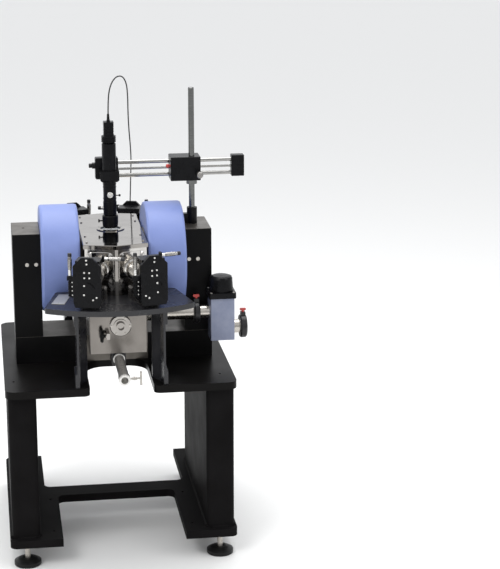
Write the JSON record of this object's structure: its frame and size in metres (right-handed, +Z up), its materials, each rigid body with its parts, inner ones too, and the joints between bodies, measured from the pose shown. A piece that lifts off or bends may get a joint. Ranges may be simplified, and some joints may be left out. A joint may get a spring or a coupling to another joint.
{
  "type": "wafer probe station",
  "caption": "Free-standing magnet probe station: yoke and coils on a slotted table, vacuum chamber with probe arms on micromanipulators, and a zoom microscope on a boom",
  "frame": {"origin": "on the floor under the crossing of the magnet axis and the microscope axis, between the four feet", "axes": "+Z up, +X right along the magnet axis, -Y towards the user"},
  "size_m": [0.7265, 0.8529, 1.3499],
  "materials": {
    "frame_black": "satin powder coat",
    "foot_steel": "turned",
    "screw_steel": "plain",
    "yoke_steel": "plated bare tops, black painted fronts",
    "coil_blue": "satin enamel",
    "stainless": "mirror polished",
    "window_glass": "clear",
    "copper_plate": "gold plated",
    "black_plastic": "moulded",
    "black_anodised": "satin black anodised",
    "rail_steel": "ground",
    "red_plastic": "moulded",
    "valve_blue": "satin paint",
    "chrome": "polished",
    "knob_steel": "knurled",
    "arm_steel": "satin",
    "cable_rubber": "smooth jacket"
  },
  "bodies": {
    "station": {"arm_bellows": "stainless", "arm_ports": "stainless", "boom_blocks": "black_anodised", "boom_post": "chrome", "boom_rods": "chrome", "cable_coil": "cable_rubber", "cable_plug": "black_plastic", "camera_cable": "cable_rubber", "cap_screws": "screw_steel", "chamber_body": "stainless", "chamber_lid": "stainless", "focus_slab": "black_anodised", "levelling_feet": "foot_steel", "lower_housing": "stainless", "magnet_coils": "coil_blue", "magnet_yoke": "yoke_steel", "manipulator_rails": "rail_steel", "platforms": "black_anodised", "post_socket": "black_anodised", "pump_line": "stainless", "sample_stage": "copper_plate", "service_port": "stainless", "stand_frame": "frame_black", "table_top": "frame_black", "transfer_bayonet": "stainless", "valve_body": "valve_blue", "valve_bonnet": "black_anodised", "viewport_window": "window_glass"},
    "sled_front_left": {"sled_front_left": "black_anodised"},
    "lift_plate_front_left": {"lift_plate_front_left": "black_anodised"},
    "arm_carriage_front_left": {"arm_carriage_front_left": "arm_steel"},
    "lift_thimble_front_left": {"lift_thimble_front_left": "knob_steel"},
    "cross_thimble_front_left": {"cross_thimble_front_left": "knob_steel"},
    "sled_front_right": {"sled_front_right": "black_anodised"},
    "lift_plate_front_right": {"lift_plate_front_right": "black_anodised"},
    "arm_carriage_front_right": {"arm_carriage_front_right": "arm_steel"},
    "lift_thimble_front_right": {"lift_thimble_front_right": "knob_steel"},
    "cross_thimble_front_right": {"cross_thimble_front_right": "knob_steel"},
    "sled_rear_right": {"sled_rear_right": "black_anodised"},
    "lift_plate_rear_right": {"lift_plate_rear_right": "black_anodised"},
    "arm_carriage_rear_right": {"arm_carriage_rear_right": "arm_steel"},
    "lift_thimble_rear_right": {"lift_thimble_rear_right": "knob_steel"},
    "cross_thimble_rear_right": {"cross_thimble_rear_right": "knob_steel"},
    "sled_rear_left": {"sled_rear_left": "black_anodised"},
    "lift_plate_rear_left": {"lift_plate_rear_left": "black_anodised"},
    "arm_carriage_rear_left": {"arm_carriage_rear_left": "arm_steel"},
    "lift_thimble_rear_left": {"lift_thimble_rear_left": "knob_steel"},
    "cross_thimble_rear_left": {"cross_thimble_rear_left": "knob_steel"},
    "vent_knob": {"vent_knob": "black_plastic"},
    "bayonet_screw": {"bayonet_screw": "screw_steel"},
    "line_clamp_knob": {"line_clamp_knob": "red_plastic"},
    "outlet_clamp_knob": {"outlet_clamp_knob": "red_plastic"},
    "boom_knob": {"boom_knob": "knob_steel"},
    "rod_lock_knob": {"rod_lock_knob": "red_plastic"},
    "microscope": {"tube_clamp": "black_anodised", "zoom_tube": "black_anodised", "ring_light": "black_anodised", "camera_head": "black_anodised"},
    "focus_knob": {"focus_knob": "black_plastic"},
    "zoom_ring": {"zoom_ring": "black_anodised"}
  },
  "joints": [
    {"name": "reach_front_left", "type": "slide", "parent": "station", "child": "sled_front_left", "axis": [0.2504, 0.9681, 0], "range_m": [-0.025, 0.025], "deforming": ["arm_bellows"]},
    {"name": "lift_front_left", "type": "slide", "parent": "sled_front_left", "child": "lift_plate_front_left", "axis": [0, 0, 1], "range_m": [-0.007, 0.008]},
    {"name": "cross_front_left", "type": "slide", "parent": "lift_plate_front_left", "child": "arm_carriage_front_left", "axis": [0.9681, -0.2504, 0], "range_m": [-0.01, 0.01]},
    {"name": "lift_micrometer_front_left", "type": "hinge", "parent": "sled_front_left", "child": "lift_thimble_front_left", "pos_m": [-0.13729, -0.33117, 0.9], "axis": [0, 0, 1], "range_deg": [-2881, 2521]},
    {"name": "cross_micrometer_front_left", "type": "hinge", "parent": "lift_plate_front_left", "child": "cross_thimble_front_left", "pos_m": [-0.02203, -0.32483, 0.898], "axis": [0.9681, -0.2504, 0], "range_deg": [-3601, 3601]},
    {"name": "reach_front_right", "type": "slide", "parent": "station", "child": "sled_front_right", "axis": [-0.2504, 0.9681, 0], "range_m": [-0.025, 0.025], "deforming": ["arm_bellows"]},
    {"name": "lift_front_right", "type": "slide", "parent": "sled_front_right", "child": "lift_plate_front_right", "axis": [0, 0, 1], "range_m": [-0.007, 0.008]},
    {"name": "cross_front_right", "type": "slide", "parent": "lift_plate_front_right", "child": "arm_carriage_front_right", "axis": [0.9681, 0.2504, 0], "range_m": [-0.01, 0.01]},
    {"name": "lift_micrometer_front_right", "type": "hinge", "parent": "sled_front_right", "child": "lift_thimble_front_right", "pos_m": [0.04048, -0.35621, 0.9], "axis": [0, 0, 1], "range_deg": [-2881, 2521]},
    {"name": "cross_micrometer_front_right", "type": "hinge", "parent": "lift_plate_front_right", "child": "cross_thimble_front_right", "pos_m": [0.13821, -0.29478, 0.898], "axis": [0.9681, 0.2504, 0], "range_deg": [-3601, 3601]},
    {"name": "reach_rear_right", "type": "slide", "parent": "station", "child": "sled_rear_right", "axis": [-0.2504, -0.9681, 0], "range_m": [-0.025, 0.025], "deforming": ["arm_bellows"]},
    {"name": "lift_rear_right", "type": "slide", "parent": "sled_rear_right", "child": "lift_plate_rear_right", "axis": [0, 0, 1], "range_m": [-0.007, 0.008]},
    {"name": "cross_rear_right", "type": "slide", "parent": "lift_plate_rear_right", "child": "arm_carriage_rear_right", "axis": [-0.9681, 0.2504, 0], "range_m": [-0.01, 0.01]},
    {"name": "lift_micrometer_rear_right", "type": "hinge", "parent": "sled_rear_right", "child": "lift_thimble_rear_right", "pos_m": [0.13729, 0.33117, 0.9], "axis": [0, 0, 1], "range_deg": [-2881, 2521]},
    {"name": "cross_micrometer_rear_right", "type": "hinge", "parent": "lift_plate_rear_right", "child": "cross_thimble_rear_right", "pos_m": [0.02203, 0.32483, 0.898], "axis": [-0.9681, 0.2504, 0], "range_deg": [-3601, 3601]},
    {"name": "reach_rear_left", "type": "slide", "parent": "station", "child": "sled_rear_left", "axis": [0.2504, -0.9681, 0], "range_m": [-0.025, 0.025], "deforming": ["arm_bellows"]},
    {"name": "lift_rear_left", "type": "slide", "parent": "sled_rear_left", "child": "lift_plate_rear_left", "axis": [0, 0, 1], "range_m": [-0.007, 0.008]},
    {"name": "cross_rear_left", "type": "slide", "parent": "lift_plate_rear_left", "child": "arm_carriage_rear_left", "axis": [-0.9681, -0.2504, 0], "range_m": [-0.01, 0.01]},
    {"name": "lift_micrometer_rear_left", "type": "hinge", "parent": "sled_rear_left", "child": "lift_thimble_rear_left", "pos_m": [-0.04048, 0.35621, 0.9], "axis": [0, 0, 1], "range_deg": [-2881, 2521]},
    {"name": "cross_micrometer_rear_left", "type": "hinge", "parent": "lift_plate_rear_left", "child": "cross_thimble_rear_left", "pos_m": [-0.13821, 0.29478, 0.898], "axis": [-0.9681, -0.2504, 0], "range_deg": [-3601, 3601]},
    {"name": "vent_turn", "type": "hinge", "parent": "station", "child": "vent_knob", "pos_m": [-0.045, -0.257, 0.657], "axis": [-1, 0, 0], "range_deg": [0, 360]},
    {"name": "bayonet_screw_turn", "type": "hinge", "parent": "station", "child": "bayonet_screw", "pos_m": [0.03, -0.421, 0.5805], "axis": [1, 0, 0], "range_deg": [0, 360]},
    {"name": "line_clamp_turn", "type": "hinge", "parent": "station", "child": "line_clamp_knob", "pos_m": [0.237, -0.122, 0.725], "axis": [0, 0, 1], "range_deg": [0, 360]},
    {"name": "outlet_clamp_turn", "type": "hinge", "parent": "station", "child": "outlet_clamp_knob", "pos_m": [0.374, -0.122, 0.678], "axis": [0, 0, 1], "range_deg": [0, 360]},
    {"name": "boom_knob_turn", "type": "hinge", "parent": "station", "child": "boom_knob", "pos_m": [0.26, -0.03, 1.069], "axis": [0, -1, 0], "range_deg": [0, 360]},
    {"name": "rod_lock_turn", "type": "hinge", "parent": "station", "child": "rod_lock_knob", "pos_m": [0.172, -0.004, 1.091], "axis": [-1, 0, 0], "range_deg": [0, 360]},
    {"name": "focus_slide", "type": "slide", "parent": "station", "child": "microscope", "axis": [0, 0, 1], "range_m": [-0.002, 0.015]},
    {"name": "focus_turn", "type": "hinge", "parent": "station", "child": "focus_knob", "pos_m": [-0.039, 0.034, 1.091], "axis": [-1, 0, 0], "range_deg": [-12, 90]},
    {"name": "zoom_turn", "type": "hinge", "parent": "microscope", "child": "zoom_ring", "pos_m": [0, 0, 0.978], "axis": [0, 0, 1], "range_deg": [-90, 90]}
  ],
  "couplings": [
    {"joint": "lift_micrometer_front_left", "follows": "lift_front_left", "rad_per_m": -6283.2},
    {"joint": "cross_micrometer_front_left", "follows": "cross_front_left", "rad_per_m": 6283.2},
    {"joint": "lift_micrometer_front_right", "follows": "lift_front_right", "rad_per_m": -6283.2},
    {"joint": "cross_micrometer_front_right", "follows": "cross_front_right", "rad_per_m": 6283.2},
    {"joint": "lift_micrometer_rear_right", "follows": "lift_rear_right", "rad_per_m": -6283.2},
    {"joint": "cross_micrometer_rear_right", "follows": "cross_rear_right", "rad_per_m": 6283.2},
    {"joint": "lift_micrometer_rear_left", "follows": "lift_rear_left", "rad_per_m": -6283.2},
    {"joint": "cross_micrometer_rear_left", "follows": "cross_rear_left", "rad_per_m": 6283.2},
    {"joint": "focus_turn", "follows": "focus_slide", "rad_per_m": 104.72}
  ]
}
